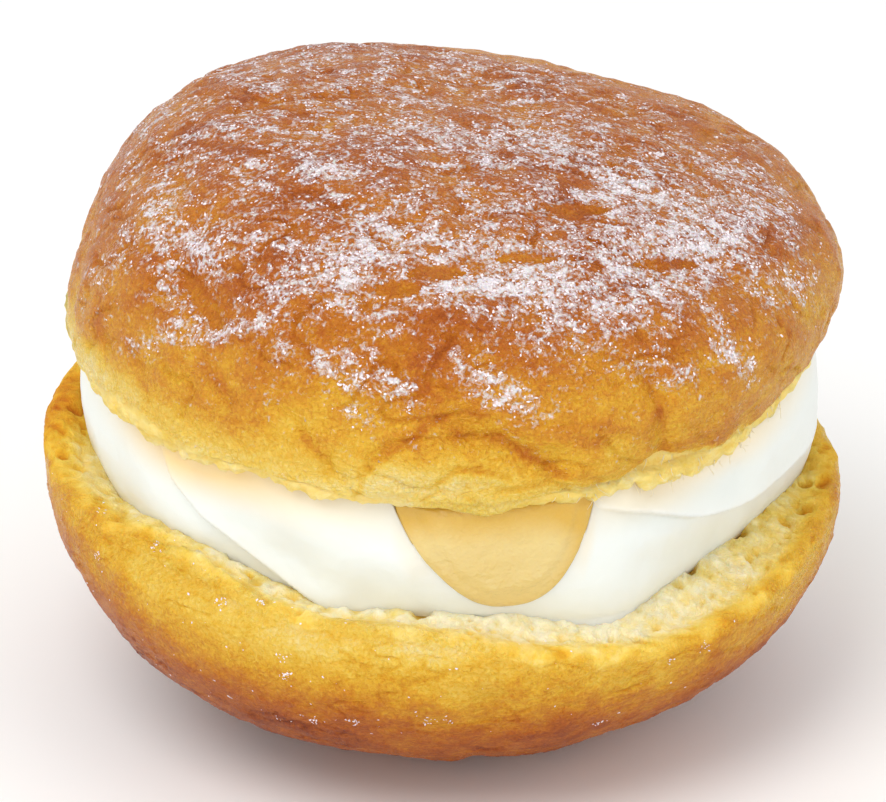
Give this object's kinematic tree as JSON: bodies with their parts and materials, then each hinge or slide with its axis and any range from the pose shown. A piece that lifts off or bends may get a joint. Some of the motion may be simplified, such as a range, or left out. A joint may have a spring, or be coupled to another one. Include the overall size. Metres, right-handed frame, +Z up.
{
  "type": "custard and cream filled doughnut",
  "caption": "Round fried doughnut cut across and filled with whipped cream, with custard running out at the front and a browned, sugar-dusted crown.",
  "frame": {"origin": "on the surface it rests on, under the middle of the doughnut's overall box", "axes": "+Z up through the crown, -Y the front where the custard runs out, +X to the right seen from the front"},
  "size_m": [0.087, 0.087, 0.068],
  "materials": {
    "fried_dough": "golden fried dough, satin, pale crumb on the cut face",
    "cream": "smooth whipped cream with a soft sheen",
    "custard": "thick glossy custard",
    "browned_crust": "orange-brown fried crust, satin, dusted with powdered sugar",
    "powdered_sugar": "dry white powdered sugar in small loose clumps"
  },
  "bodies": {
    "root": {"bottom_half": "fried_dough", "whipped_cream": "cream", "custard": "custard", "top_half": "browned_crust"}
  },
  "joints": []
}
